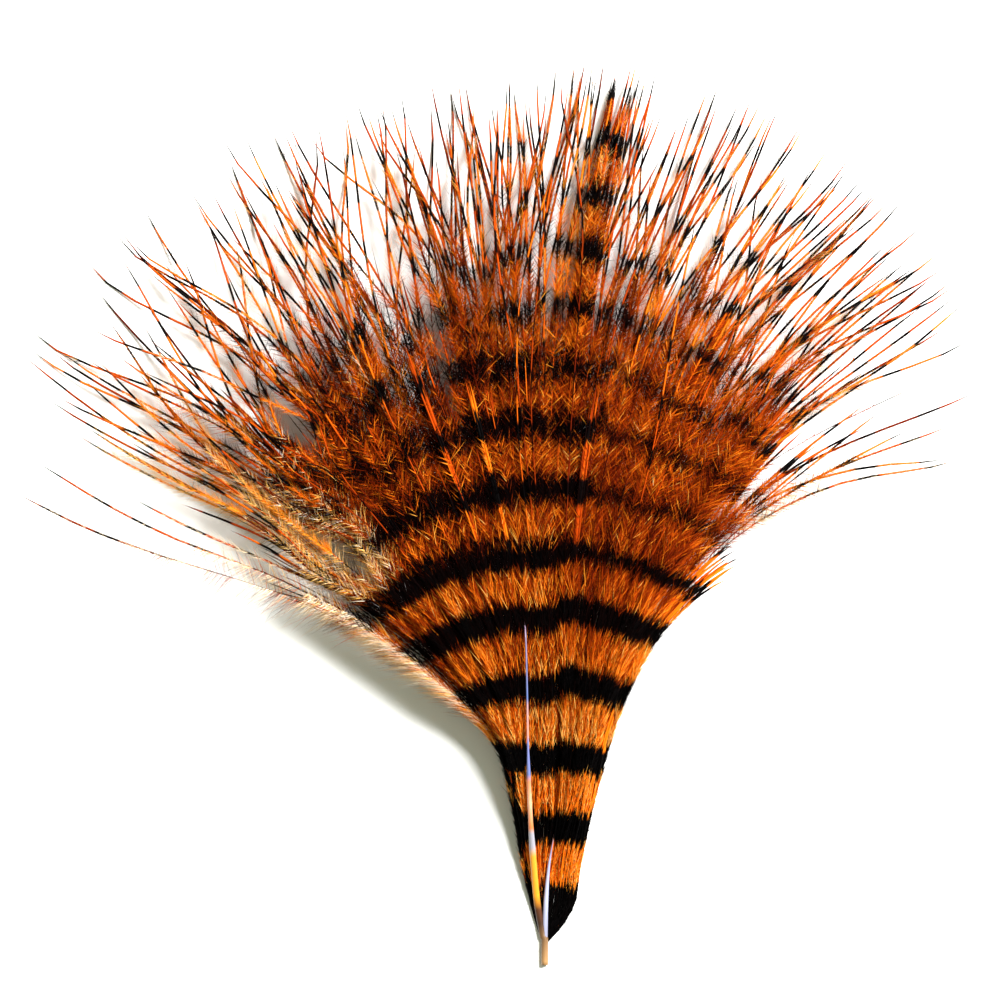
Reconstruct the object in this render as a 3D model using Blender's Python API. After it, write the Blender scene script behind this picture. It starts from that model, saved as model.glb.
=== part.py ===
"""A barred marabou plume lying flat: one quill, two shafts and two fans of pointed locks."""

import math

import bmesh
import bpy
import numpy as np

# The whole plume: +Y runs from the quill to the tips, +Z up from the surface it lies on
FAN_CENTRE = np.array([0.0048, -0.0222])
FAN_RADIUS = 0.0702
ARCH_HEIGHT = 0.0042
ARCH_LENGTH = 0.0300
TIP_FALL_FROM = 0.6
TIP_FALL = 0.8

# The quill and the main shaft, from the cut end to the tip of the middle lock
MAIN_SHAFT = (
    (0.0048, -0.0494),
    (0.0048, -0.0456),
    (0.0046, -0.0428),
    (0.0038, -0.0389),
    (0.0032, -0.0311),
    (0.0029, -0.0244),
    (0.0028, -0.0106),
    (0.0032, 0.0022),
    (0.0046, 0.0189),
    (0.0076, 0.0356),
    (0.0126, 0.0494),
)
SHAFT_HALF_WIDTH = 0.00035
SHAFT_HALF_HEIGHT = 0.00035
SHAFT_SHOULDER = 0.00012
SHAFT_TIP_SHARE = 0.3
TIP_LOCK_BULGE = 0.0008
TIP_LOCK_LEAN = 1.5
QUILL_FLAT_LENGTH = 0.0050

# The second shaft, which leaves the top of the quill and carries the upper, shorter fan
SECOND_SHAFT = (
    (0.0048, -0.0468),
    (0.0049, -0.0406),
    (0.0054, -0.0363),
    (0.0065, -0.0267),
    (0.0066, -0.0200),
    (0.0063, -0.0089),
    (0.0085, 0.0078),
    (0.0140, 0.0240),
)
SECOND_LIFT = 0.0022
SECOND_LIFT_LENGTH = 0.0120
SECOND_SEAT_SHARE = 0.05
SECOND_GIRTH = 0.8

# The lower fan: stretch of shaft it grows from, locks a side, and points along a lock
LOWER_ROOTS_FROM = -0.0462
LOWER_ROOTS_TO = 0.0300
LOWER_LOCKS = 18
LOWER_STEPS = 12

# The upper fan
UPPER_ROOTS_FROM = -0.0380
UPPER_ROOTS_TO = 0.0120
UPPER_LOCKS = 12
UPPER_STEPS = 10

# Sides of both fans: degrees from +Y of the outermost and the innermost lock, how far these two reach
# from the fan's centre, and the width that the pressed base takes up beside the shaft
LOWER_LEFT = (-67.5, 2.0, 0.0625, FAN_RADIUS, 0.0006)
LOWER_RIGHT = (54.5, 10.5, 0.0592, FAN_RADIUS, 0.0032)
UPPER_LEFT = (-44.0, 4.0, 0.0500, 0.0530, 0.0004)
UPPER_RIGHT = (44.0, 16.0, 0.0460, 0.0530, 0.0010)
FULL_REACH_FROM = 1.0 / 3.0

# The pressed base, where the vane leaves the quill at once to its full width there
BASE_OPENS_OVER = 0.05
BASE_CLOSES_OVER = 0.50

# The locks
ROOT_PULL = 0.40
TIP_PULL = 0.36
STEP_BUNCHING = 1.3
NOTCH_FROM = 0.50
NOTCH_TO = 0.72
RIDGE_THICKNESS = 0.0015
RIDGE_AT_TIP = 0.20
WIDTH_AT_TIP = 0.12
VALLEY_THICKNESS = 0.00050
LOCK_DROP = 0.0005
WANDER_SHARE = 0.30
SHORTEST_LOCK = 0.86
SHORTENS_FROM = 0.35
SEED = 11

FEATHER_COLOUR = (0.56, 0.20, 0.03, 1.0)
FEATHER_ROUGHNESS = 0.75


def clear_scene():
    for obj in list(bpy.data.objects):
        bpy.data.objects.remove(obj, do_unlink=True)


def smoothstep(x):
    x = np.clip(x, 0.0, 1.0)
    return x * x * (3.0 - 2.0 * x)


def along(points, share):
    """Point at a share of the length of a smooth curve through points: cubic Hermite spans."""
    points = np.array(points)
    steps = np.linalg.norm(np.diff(points, axis=0), axis=1)
    lengths = np.concatenate([[0.0], np.cumsum(steps)])
    slopes = np.gradient(points, lengths, axis=0)
    at = np.clip(share, 0.0, 1.0) * lengths[-1]
    i = min(int(np.searchsorted(lengths, at, side="right")) - 1, len(steps) - 1)
    u = (at - lengths[i]) / steps[i]
    start = (2 * u**3 - 3 * u**2 + 1) * points[i] + (u**3 - 2 * u**2 + u) * steps[i] * slopes[i]
    end = (3 * u**2 - 2 * u**3) * points[i + 1] + (u**3 - u**2) * steps[i] * slopes[i + 1]
    return start + end


def share_at_y(points, y):
    """Share of the curve's length at which it reaches height y on the sheet."""
    shares = np.linspace(0.0, 1.0, 400)
    heights = [along(points, share)[1] for share in shares]
    return float(np.interp(y, heights, shares))


def sheet_height(xy):
    """Height of the vane's middle surface: an arch that starts flat under the quill and falls to the tips."""
    from_quill = np.linalg.norm(xy - np.array(MAIN_SHAFT[0]))
    spread = np.linalg.norm(xy - FAN_CENTRE) / FAN_RADIUS
    rise = smoothstep((from_quill - QUILL_FLAT_LENGTH) / ARCH_LENGTH)
    arch = ARCH_HEIGHT * rise * max(0.0, 1.0 - spread**2.5)
    tip = np.clip((spread - TIP_FALL_FROM) / (1.0 - TIP_FALL_FROM), 0.0, 1.0)
    return SHAFT_HALF_HEIGHT * (1.0 - TIP_FALL * tip**2) + arch


class Fan:
    """One shaft with a vane of locks on each side."""

    def __init__(self, shaft, girth, locks, steps, roots, left, right, lift, seed):
        self.shaft = shaft
        self.girth = girth
        self.locks = locks
        self.steps = steps
        self.roots = roots
        self.sides = {-1: left, 1: right}
        self.lift = lift
        self.random = np.random.default_rng(seed)

    def middle(self, xy):
        lifted = smoothstep((xy[1] - self.shaft[0][1]) / SECOND_LIFT_LENGTH)
        return sheet_height(xy) + self.lift * (SECOND_SEAT_SHARE + (1.0 - SECOND_SEAT_SHARE) * lifted)

    def root_share(self, across):
        low, high = self.roots
        return low + (high - low) * across

    def line(self, side, across, share):
        """Point on a growth line: a cubic Bezier that leaves along the shaft and ends pointing out from the
        fan's centre.

        across runs from 0 at the vane's outer edge to 1 beside the shaft's tip.
        """
        outer, inner, outer_radius, inner_radius, base_width = self.sides[side]
        turn = (across * self.locks - 0.5) / (self.locks - 1)
        angle = math.radians(outer + (inner - outer) * turn)
        radius = outer_radius + (inner_radius - outer_radius) * np.clip(turn / FULL_REACH_FROM, 0.0, 1.0)
        at = self.root_share(across)
        root = along(self.shaft, at)
        tangent = along(self.shaft, at + 0.02) - along(self.shaft, at - 0.02)
        tangent = tangent / np.linalg.norm(tangent)
        out = np.array([math.sin(angle), math.cos(angle)])
        tip = FAN_CENTRE + radius * out
        reach = np.linalg.norm(tip - root)
        first = root + tangent * ROOT_PULL * reach
        second = tip - out * TIP_PULL * reach
        pressed = smoothstep(share / BASE_OPENS_OVER)
        pressed *= 1.0 - smoothstep((share - BASE_OPENS_OVER) / (BASE_CLOSES_OVER - BASE_OPENS_OVER))
        shift = side * base_width * (1.0 - across) * pressed * np.array([tangent[1], -tangent[0]])
        u = 1.0 - share
        return shift + u**3 * root + 3 * u * u * share * first + 3 * u * share**2 * second + share**3 * tip


class Skin:
    """Points and faces of one closed surface."""

    def __init__(self):
        self.points = []
        self.faces = []

    def point(self, xy, z):
        self.points.append((float(xy[0]), float(xy[1]), float(z)))
        return len(self.points) - 1

    def face(self, *corners):
        kept = [c for i, c in enumerate(corners) if c != corners[i - 1]]
        if len(kept) > 2:
            self.faces.append(kept)


def shaft_rings(skin, fan, shares):
    """Five-sided shaft: ridge on top, two shoulders, and a flat underside."""
    rings = []
    for share in shares:
        xy = along(fan.shaft, share)
        ahead = along(fan.shaft, share + 0.01) - along(fan.shaft, share - 0.01)
        across = np.array([ahead[1], -ahead[0]]) / np.linalg.norm(ahead)
        slim = fan.girth * (1.0 - (1.0 - SHAFT_TIP_SHARE) * share)
        z = fan.middle(xy)
        half = SHAFT_HALF_WIDTH * slim
        beyond = (share - fan.roots[1]) / (1.0 - fan.roots[1])
        if beyond > 0.0:
            half += TIP_LOCK_BULGE * math.sin(math.pi * min(1.0, beyond) ** TIP_LOCK_LEAN)
        ring = {"top": skin.point(xy, z + SHAFT_HALF_HEIGHT * slim)}
        for side in (-1, 1):
            edge = xy + side * half * across
            shoulder = skin.point(edge, z + SHAFT_SHOULDER * slim)
            under = skin.point(edge, z - SHAFT_HALF_HEIGHT * slim)
            ring[side] = (shoulder, under)
        rings.append(ring)
    return rings


def shaft_faces(skin, rings, first_lock, last_lock):
    """Top and underside all the way, and side faces only where no lock grows."""
    for i in range(len(rings) - 1):
        a, b = rings[i], rings[i + 1]
        skin.face(a[-1][1], a[1][1], b[1][1], b[-1][1])
        for side in (-1, 1):
            skin.face(a["top"], a[side][0], b[side][0], b["top"])
            if i < first_lock or i >= last_lock:
                skin.face(a[side][0], a[side][1], b[side][1], b[side][0])
    skin.face(*ring_loop(rings[0]))


def ring_loop(ring):
    return ring["top"], ring[-1][0], ring[-1][1], ring[1][1], ring[1][0]


def close_shaft_tip(skin, fan, ring):
    tip = along(fan.shaft, 1.0)
    point = skin.point(tip, fan.middle(tip))
    loop = ring_loop(ring)
    for i, corner in enumerate(loop):
        skin.face(loop[i - 1], corner, point)


def lock_lengths(fan):
    lengths = fan.random.uniform(SHORTEST_LOCK, 1.0, fan.locks)
    lengths[0] = 1.0
    return lengths


def grow_side(skin, fan, side, rings):
    """The locks of one side, fused near the shaft along shared valleys and free beyond their notches."""
    count, steps = fan.locks, fan.steps
    lengths = lock_lengths(fan)
    notches = fan.random.integers(round(steps * NOTCH_FROM), round(steps * NOTCH_TO) + 1, count + 1)
    notches[0] = notches[count] = 1
    wander = fan.random.uniform(-WANDER_SHARE, WANDER_SHARE, count) / count

    def share(lock, step):
        late = smoothstep((step / steps - SHORTENS_FROM) / (1.0 - SHORTENS_FROM))
        return (step / steps) ** STEP_BUNCHING * (1.0 - (1.0 - lengths[lock]) * late)

    def free(step, notch):
        """Width and height of a free tip, 1 at its notch and 0 at its end."""
        return 1.0 - smoothstep((step - notch) / (steps - notch)) if step > notch else 1.0

    def spot(lock, step, offset):
        start = min(notches[lock], notches[lock + 1]) if 0 < lock < count - 1 else steps // 2
        gone = 1.0 - free(step, start)
        across = (lock + 0.5 + offset) / count + wander[lock] * gone
        xy = fan.line(side, across, share(lock, step))
        drop = LOCK_DROP * gone * (lock % 2) * (1.0 if fan.lift == 0.0 else -1.0)
        return xy, max(fan.middle(xy) - drop, RIDGE_THICKNESS / 2 * RIDGE_AT_TIP)

    valleys = []
    for valley in range(count + 1):
        ring = rings[2 * valley]
        line = [ring[side]]
        for step in range(1, notches[valley] + 1):
            beside = [lock for lock in (valley - 1, valley) if 0 <= lock < count]
            xy = fan.line(side, valley / count, np.mean([share(lock, step) for lock in beside]))
            z = fan.middle(xy)
            half = VALLEY_THICKNESS / 2
            if step < notches[valley]:
                line.append((skin.point(xy, z + half), skin.point(xy, z - half)))
            else:
                line.append((skin.point(xy, z),) * 2)
        valleys.append(line)

    for lock in range(count):
        ridge_ring = rings[2 * lock + 1]
        tip_xy, tip_z = spot(lock, steps, 0.0)
        tip = (skin.point(tip_xy, tip_z),) * 2
        ridge = [ridge_ring[side]]
        edges = {}
        for step in range(1, steps):
            xy, z = spot(lock, step, 0.0)
            half = RIDGE_THICKNESS / 2 * (RIDGE_AT_TIP + (1.0 - RIDGE_AT_TIP) * free(step, steps // 2))
            ridge.append((skin.point(xy, z + half), skin.point(xy, max(z - half, 0.0))))
        ridge.append(tip)
        for end, valley in ((-0.5, lock), (0.5, lock + 1)):
            line = list(valleys[valley])
            notch = notches[valley]
            for step in range(notch + 1, steps):
                start = notch if 0 < valley < count else steps // 2
                thin = WIDTH_AT_TIP + (1.0 - WIDTH_AT_TIP) * free(step, start)
                xy, z = spot(lock, step, end * thin)
                line.append((skin.point(xy, z),) * 2)
            line.append(tip)
            edges[end] = line
        for step in range(steps):
            for line in edges.values():
                for level in (0, 1):
                    a, b = line[step][level], line[step + 1][level]
                    skin.face(a, ridge[step][level], ridge[step + 1][level], b)
        for end, valley in ((-0.5, 0), (0.5, count)):
            if valley in (lock, lock + 1):
                (top, under), (beyond, _) = edges[end][0], edges[end][1]
                skin.face(top, under, beyond)


def fan_skin(fan):
    skin = Skin()
    below = np.linspace(0.0, fan.root_share(0.0), 5)[:-1]
    beside = [fan.root_share(i / (2 * fan.locks)) for i in range(2 * fan.locks + 1)]
    above = np.linspace(beside[-1], 1.0, 7)[1:-1]
    rings = shaft_rings(skin, fan, [*below, *beside, *above])
    shaft_faces(skin, rings, len(below), len(below) + 2 * fan.locks)
    close_shaft_tip(skin, fan, rings[-1])
    for side in (-1, 1):
        grow_side(skin, fan, side, rings[len(below) : len(below) + len(beside)])
    return skin


def solid_object(name, skin, material):
    mesh = bpy.data.meshes.new(name)
    mesh.from_pydata(skin.points, [], skin.faces)
    work = bmesh.new()
    work.from_mesh(mesh)
    bmesh.ops.triangulate(work, faces=work.faces)
    bmesh.ops.recalc_face_normals(work, faces=work.faces)
    work.to_mesh(mesh)
    work.free()
    mesh.materials.append(material)
    mesh.shade_smooth()
    mesh.set_sharp_from_angle(angle=math.radians(40.0))
    obj = bpy.data.objects.new(name, mesh)
    bpy.context.scene.collection.objects.link(obj)
    return obj


def feather_material():
    material = bpy.data.materials.new("feather_barbs")
    material.use_nodes = True
    shader = material.node_tree.nodes["Principled BSDF"]
    shader.inputs["Base Color"].default_value = FEATHER_COLOUR
    shader.inputs["Roughness"].default_value = FEATHER_ROUGHNESS
    shader.inputs["Metallic"].default_value = 0.0
    return material


def lower_fan():
    roots = (share_at_y(MAIN_SHAFT, LOWER_ROOTS_FROM), share_at_y(MAIN_SHAFT, LOWER_ROOTS_TO))
    return Fan(MAIN_SHAFT, 1.0, LOWER_LOCKS, LOWER_STEPS, roots, LOWER_LEFT, LOWER_RIGHT, 0.0, SEED)


def upper_fan():
    roots = (share_at_y(SECOND_SHAFT, UPPER_ROOTS_FROM), share_at_y(SECOND_SHAFT, UPPER_ROOTS_TO))
    sides = (UPPER_LEFT, UPPER_RIGHT)
    return Fan(SECOND_SHAFT, SECOND_GIRTH, UPPER_LOCKS, UPPER_STEPS, roots, *sides, SECOND_LIFT, SEED + 1)


def build_feather():
    material = feather_material()
    feather = solid_object("feather", fan_skin(lower_fan()), material)
    upper = solid_object("upper_fan", fan_skin(upper_fan()), material)
    upper.hide_render = True
    upper.display_type = "WIRE"
    join = feather.modifiers.new("upper_fan", "BOOLEAN")
    join.operation = "UNION"
    join.solver = "EXACT"
    join.object = upper
    return feather


clear_scene()
build_feather()
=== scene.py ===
import math

import bpy
import numpy as np
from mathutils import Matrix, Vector


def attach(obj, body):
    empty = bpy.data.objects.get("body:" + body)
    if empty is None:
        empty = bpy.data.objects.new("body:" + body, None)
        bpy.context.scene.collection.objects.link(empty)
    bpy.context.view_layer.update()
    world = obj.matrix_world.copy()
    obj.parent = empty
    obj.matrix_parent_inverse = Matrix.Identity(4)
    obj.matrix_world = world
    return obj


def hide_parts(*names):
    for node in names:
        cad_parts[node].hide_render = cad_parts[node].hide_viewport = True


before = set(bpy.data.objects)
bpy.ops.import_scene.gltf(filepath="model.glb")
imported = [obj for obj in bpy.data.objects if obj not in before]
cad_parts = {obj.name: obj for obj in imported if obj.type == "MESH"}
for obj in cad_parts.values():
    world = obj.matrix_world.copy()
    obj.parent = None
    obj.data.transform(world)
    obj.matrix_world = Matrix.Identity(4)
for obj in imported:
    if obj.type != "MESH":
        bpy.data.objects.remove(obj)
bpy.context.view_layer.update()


def add_object(name, data):
    """Object of the data, linked to the scene."""
    added = bpy.data.objects.new(name, data)
    bpy.context.scene.collection.objects.link(added)
    return added


# The camera hangs straight above the feather, as a copy stand holds it, and looks down with the
# tips at the top of the picture. A long lens keeps the outline free of perspective.
PICTURE_WIDTH = 0.1111
PICTURE_CENTRE = (-0.00017, 0.00222)
CAMERA_HEIGHT = 0.60
SENSOR_WIDTH = 36.0
NEAREST_SEEN = 0.01
camera_data = bpy.data.cameras.new("camera")
camera_data.sensor_width = SENSOR_WIDTH
camera_data.lens = SENSOR_WIDTH * CAMERA_HEIGHT / PICTURE_WIDTH
camera_data.clip_start = NEAREST_SEEN
camera = add_object("camera", camera_data)
camera.location = (*PICTURE_CENTRE, CAMERA_HEIGHT)
bpy.context.scene.camera = camera

# Soft studio light: a pale room all round, and one broad lamp up to the right whose soft shadow
# falls to the lower left of the feather.
ROOM_COLOUR = (0.96, 1.0, 0.76, 1.0)
ROOM_STRENGTH = 0.40
LAMP_POWER = 11.5
LAMP_SIZE = 0.23
LAMP_PLACE = Vector((0.30, 0.24, 0.44))
LAMP_AIM = Vector((0.0, 0.0, 0.0))
bpy.context.scene.view_settings.view_transform = "Standard"
room = bpy.data.worlds.new("room")
room.use_nodes = True
room.node_tree.nodes["Background"].inputs["Color"].default_value = ROOM_COLOUR
room.node_tree.nodes["Background"].inputs["Strength"].default_value = ROOM_STRENGTH
bpy.context.scene.world = room
lamp_data = bpy.data.lights.new("broad_lamp", "AREA")
lamp_data.energy = LAMP_POWER
lamp_data.size = LAMP_SIZE
lamp = add_object("broad_lamp", lamp_data)
lamp.location = LAMP_PLACE
lamp.rotation_euler = (LAMP_PLACE - LAMP_AIM).to_track_quat("Z", "Y").to_euler()


def new_material(name, roughness, shine):
    """Material with the given roughness and shine, its node tree and its shader."""
    material = bpy.data.materials.new(name)
    material.use_nodes = True
    shader = material.node_tree.nodes["Principled BSDF"]
    shader.inputs["Roughness"].default_value = roughness
    shader.inputs["Specular IOR Level"].default_value = shine
    return material, material.node_tree, shader


# The floor is a sheet of plain white card that the feather lies on.
FLOOR_SIZE = 3.0
CARD_COLOUR = (0.93, 0.93, 0.92, 1.0)
CARD_ROUGHNESS = 0.9
CARD_SHINE = 0.5
half = FLOOR_SIZE / 2
floor_mesh = bpy.data.meshes.new("floor")
floor_corners = [(-half, -half, 0), (half, -half, 0), (half, half, 0), (-half, half, 0)]
floor_mesh.from_pydata(floor_corners, [], [(0, 1, 2, 3)])
floor = add_object("floor", floor_mesh)
card, _, card_shader = new_material("white_card", CARD_ROUGHNESS, CARD_SHINE)
card_shader.inputs["Base Color"].default_value = CARD_COLOUR
floor_mesh.materials.append(card)


# The quill and shafts: one bare horn quill at the cut end, from which the main shaft runs up the
# middle and a second, thinner shaft leaves beside it. Both are pressed into the barbs that grow from
# them, and show as thin pale lines until the down closes over them.

# Guides: the lines that the shafts and barbs follow from the quill outwards, as (x, y) in millimetres.
# The first lies along the left edge of the fan and the last along its right edge.
GUIDES_MM = (
    ((4.3, -46.2), (3.3, -42.8), (2.4, -38.7), (1.1, -31.1), (-0.2, -25.8), (-2.6, -22.3), (-6.3, -18.9),
     (-11.8, -14.7), (-17.4, -11.3), (-23.5, -8.9), (-30.2, -7.0), (-37.9, -4.9), (-45.2, -2.2),
     (-53.4, 2.0)),
    ((4.5, -46.2), (3.9, -42.8), (3.1, -38.7), (2.1, -31.1), (0.6, -24.7), (-1.8, -20.0), (-6.1, -14.4),
     (-11.3, -8.9), (-18.5, -3.1), (-26.8, 2.6), (-35.2, 7.8), (-43.3, 13.1), (-52.2, 18.9)),
    ((4.6, -46.2), (4.3, -42.8), (3.5, -38.7), (2.6, -31.1), (1.8, -24.7), (0.7, -18.9), (-1.5, -13.3),
     (-5.2, -6.7), (-9.6, 1.3), (-15.2, 10.6), (-20.7, 20.0), (-26.6, 30.0), (-33.4, 40.8)),
    ((4.6, -46.2), (4.0, -42.8), (3.6, -38.7), (3.1, -31.1), (2.9, -24.7), (2.8, -18.9), (2.5, -10.6),
     (1.2, -1.1), (-1.1, 9.4), (-3.5, 20.6), (-6.1, 32.2), (-9.3, 46.9)),
    ((4.8, -46.2), (4.9, -42.8), (5.2, -38.7), (6.3, -31.7), (6.5, -25.0), (6.6, -18.9), (6.3, -10.0),
     (6.3, -1.1), (6.9, 10.0), (8.3, 22.2), (10.3, 35.6), (13.0, 49.9)),
    ((4.9, -46.8), (5.6, -44.8), (6.0, -42.8), (6.3, -38.7), (7.6, -31.1), (8.3, -25.0), (9.1, -18.9),
     (10.5, -11.1), (12.5, -2.2), (15.4, 8.9), (19.3, 20.6), (24.1, 31.7), (30.2, 44.8)),
    ((4.9, -47.0), (6.1, -45.0), (7.0, -42.8), (7.4, -38.7), (8.9, -31.1), (10.2, -25.0), (11.6, -18.9),
     (14.3, -11.7), (18.2, -3.9), (23.4, 4.7), (29.8, 13.3), (38.2, 22.8), (46.8, 30.8)),
    ((5.0, -47.0), (6.6, -45.2), (8.0, -42.8), (8.7, -38.7), (10.3, -31.1), (11.9, -25.0), (14.1, -18.9),
     (16.7, -13.9), (20.9, -8.9), (26.5, -3.9), (33.7, 1.1), (42.6, 6.7), (53.2, 13.4)),
)
GUIDE_POINTS = 240
MAIN_AT = 3 / 7
SECOND_AT = 4 / 7
QUILL_END = (0.0048, -0.0494)
QUILL_TOP = (0.0048, -0.0465)

# Tapers: pairs of a distance from the quill and the radius there.
MAIN_TAPER = (
    (0.0, 0.00041), (0.010, 0.00038), (0.013, 0.00027), (0.018, 0.00025), (0.021, 0.00013),
    (0.052, 0.00004),
)
MAIN_LIFT = 0.0031
MAIN_SINKS = 0.0335
SECOND_TAPER = (
    (0.0, 0.00034), (0.004, 0.00028), (0.008, 0.00015), (0.0105, 0.00006), (0.050, 0.00004),
)
SECOND_LIFT = 0.0024
SECOND_SINKS = 0.0095


def smoothstep(x):
    """3x^2 - 2x^3, held at 0 below 0 and at 1 above 1."""
    x = np.clip(x, 0.0, 1.0)
    return x * x * (3.0 - 2.0 * x)


def ease(x, start, length):
    """Smoothstep that leaves 0 at the start and reaches 1 one length further on. A negative length runs
    the other way, to 1 below the start."""
    return smoothstep((x - start) / length)


def between(x, pairs):
    """Value at x, read straight between pairs of (x, value) and held beyond the first and last."""
    return np.interp(x, *np.array(pairs).T)


def smooth_run(places, count):
    """Cubic Hermite curve through the places, its slopes taken over the places on both sides, as count
    points evenly spaced by length."""
    lengths = np.concatenate([[0.0], np.cumsum(np.linalg.norm(np.diff(places, axis=0), axis=1))])
    slopes = np.gradient(places, lengths, axis=0)
    at = np.linspace(0.0, lengths[-1], count)
    i = np.clip(np.searchsorted(lengths, at, side="right") - 1, 0, len(places) - 2)
    step = (lengths[i + 1] - lengths[i])[:, None]
    u = (at - lengths[i])[:, None] / step
    start = (2 * u**3 - 3 * u**2 + 1) * places[i] + (u**3 - 2 * u**2 + u) * step * slopes[i]
    return start + (3 * u**2 - 2 * u**3) * places[i + 1] + (u**3 - u**2) * step * slopes[i + 1]


guides = np.stack([smooth_run(np.array(places) / 1000.0, GUIDE_POINTS) for places in GUIDES_MM])
guide_lengths = np.linalg.norm(np.diff(guides, axis=1), axis=-1).sum(axis=1)


def full_length(across):
    """Length of the longest barb at a place across the fan, 0 at its left edge and 1 at its right edge:
    the guides' lengths, read straight between the guides."""
    return np.interp(across, np.linspace(0.0, 1.0, len(guides)), guide_lengths)


def flow(across, reach):
    """Point of the fan at a place across it and a distance from the quill: the two guides beside that
    place are read at the same share of their lengths, straight on past their ends, and mixed in a
    straight line."""
    column = across * (len(guides) - 1)
    left = np.clip(np.floor(column).astype(int), 0, len(guides) - 2)
    row = np.clip(reach / full_length(across), 0.0, None) * (GUIDE_POINTS - 1)
    low = np.clip(row.astype(int), 0, GUIDE_POINTS - 2)
    part = (row - low)[..., None]
    mix = (column - left)[..., None]
    beside_left = guides[left, low] * (1 - part) + guides[left, low + 1] * part
    beside_right = guides[left + 1, low] * (1 - part) + guides[left + 1, low + 1] * part
    return beside_left * (1 - mix) + beside_right * mix


# The arch: the plume lies flat under the quill, rises over the fan and comes down again to its tips,
# where its middle lies at a fifth of its height at the quill.
FAN_CENTRE = np.array([0.0048, -0.0222])
FAN_RADIUS = 0.0702
ARCH_HEIGHT = 0.0042
ARCH_RISES = (0.0050, 0.0300)
ARCH_POWER = 2.5
MIDDLE_HEIGHT = 0.00036
TIPS_SINK = 0.8
TIPS_SINK_FROM = 0.6
TIPS_SINK_OVER = 0.4


def sheet_height(xy):
    """Height of the plume's middle: its height at the quill less a square of the share of the fan's
    radius past the start of the tips, plus the arch, a smoothstep of the distance from the quill times
    1 - (distance from the fan's centre / fan radius)^2.5."""
    from_quill = np.linalg.norm(xy - np.array(QUILL_END), axis=-1)
    spread = np.linalg.norm(xy - FAN_CENTRE, axis=-1) / FAN_RADIUS
    arch = ARCH_HEIGHT * ease(from_quill, *ARCH_RISES) * np.clip(1.0 - spread**ARCH_POWER, 0.0, 1.0)
    sunk = TIPS_SINK * np.clip((spread - TIPS_SINK_FROM) / TIPS_SINK_OVER, 0.0, 1.0) ** 2
    return MIDDLE_HEIGHT * (1.0 - sunk) + arch


def tapered_rods(centre, radius, sides, flatness):
    """Closed rods: at each of the (rod, ring) centres a ring of points at radius times (cos a across the
    run, flatness sin a upwards), joined ring to ring, with a flat cap at the root and a point at the
    tip. Gives the points, the faces and the ring that each point of a rod belongs to."""
    rods, rings = radius.shape
    ahead = np.gradient(centre, axis=1)
    ahead /= np.linalg.norm(ahead, axis=-1, keepdims=True)
    across = np.cross(ahead, (0.0, 0.0, 1.0))
    across /= np.linalg.norm(across, axis=-1, keepdims=True)
    upward = np.cross(across, ahead)
    turn = 2.0 * math.pi * np.arange(sides) / sides + math.pi / 2
    cosine = np.cos(turn)[:, None]
    sine = np.sin(turn)[:, None]
    ring = across[:, :, None] * cosine + upward[:, :, None] * flatness * sine
    body = centre[:, :, None] + radius[:, :, None, None] * ring
    points = np.concatenate([body[:, :-1].reshape(rods, -1, 3), centre[:, -1:]], axis=1)
    this_side = np.arange(sides)
    next_side = (this_side + 1) % sides
    first = (np.arange(rods) * points.shape[1])[:, None, None]
    base = first + (np.arange(rings - 2) * sides)[:, None]
    here = base + this_side
    beside = base + next_side
    walls = np.stack([here, beside, beside + sides, here + sides], axis=-1).reshape(-1, 4)
    last = first[:, :, 0] + (rings - 2) * sides
    end = np.broadcast_to(first[:, :, 0] + points.shape[1] - 1, (rods, sides))
    tips = np.stack([last + this_side, last + next_side, end], axis=-1).reshape(-1, 3)
    caps = (first[:, :, 0] + this_side[::-1]).reshape(-1, sides)
    ring_of = np.concatenate([np.repeat(np.arange(rings - 1), sides), [rings - 1]])
    return points.reshape(-1, 3), [walls, tips, caps], ring_of


def new_piece(name, points, face_groups, material, uv=None):
    """Smooth-shaded mesh object from points (n, 3) and arrays of faces, with an optional (n, 2) UV per
    point, as a piece of the feather."""
    corners = np.concatenate([faces.reshape(-1) for faces in face_groups]).astype(np.int32)
    totals = np.concatenate([np.full(len(faces), faces.shape[1]) for faces in face_groups])
    starts = np.concatenate([[0], np.cumsum(totals)[:-1]]).astype(np.int32)
    mesh = bpy.data.meshes.new(name)
    mesh.vertices.add(len(points))
    mesh.vertices.foreach_set("co", points.astype(np.float32).ravel())
    mesh.loops.add(len(corners))
    mesh.loops.foreach_set("vertex_index", corners)
    mesh.polygons.add(len(totals))
    mesh.polygons.foreach_set("loop_start", starts)
    if uv is not None:
        layer = mesh.uv_layers.new(name="OFBake")
        layer.data.foreach_set("uv", uv[corners].astype(np.float32).ravel())
    mesh.update(calc_edges=True)
    mesh.validate()
    mesh.shade_smooth()
    mesh.materials.append(material)
    piece = add_object(name, mesh)
    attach(piece, "root")
    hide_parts("feather")


QUILL_RINGS = 8
SHAFT_RINGS = 90
SHAFT_SIDES = 10
SHAFT_FLATNESS = 0.95
SHAFT_RISES = (0.0, 0.020)
SHAFT_SINKS_OVER = 0.004
SHAFT_CLEARANCE = 0.00004


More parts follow.
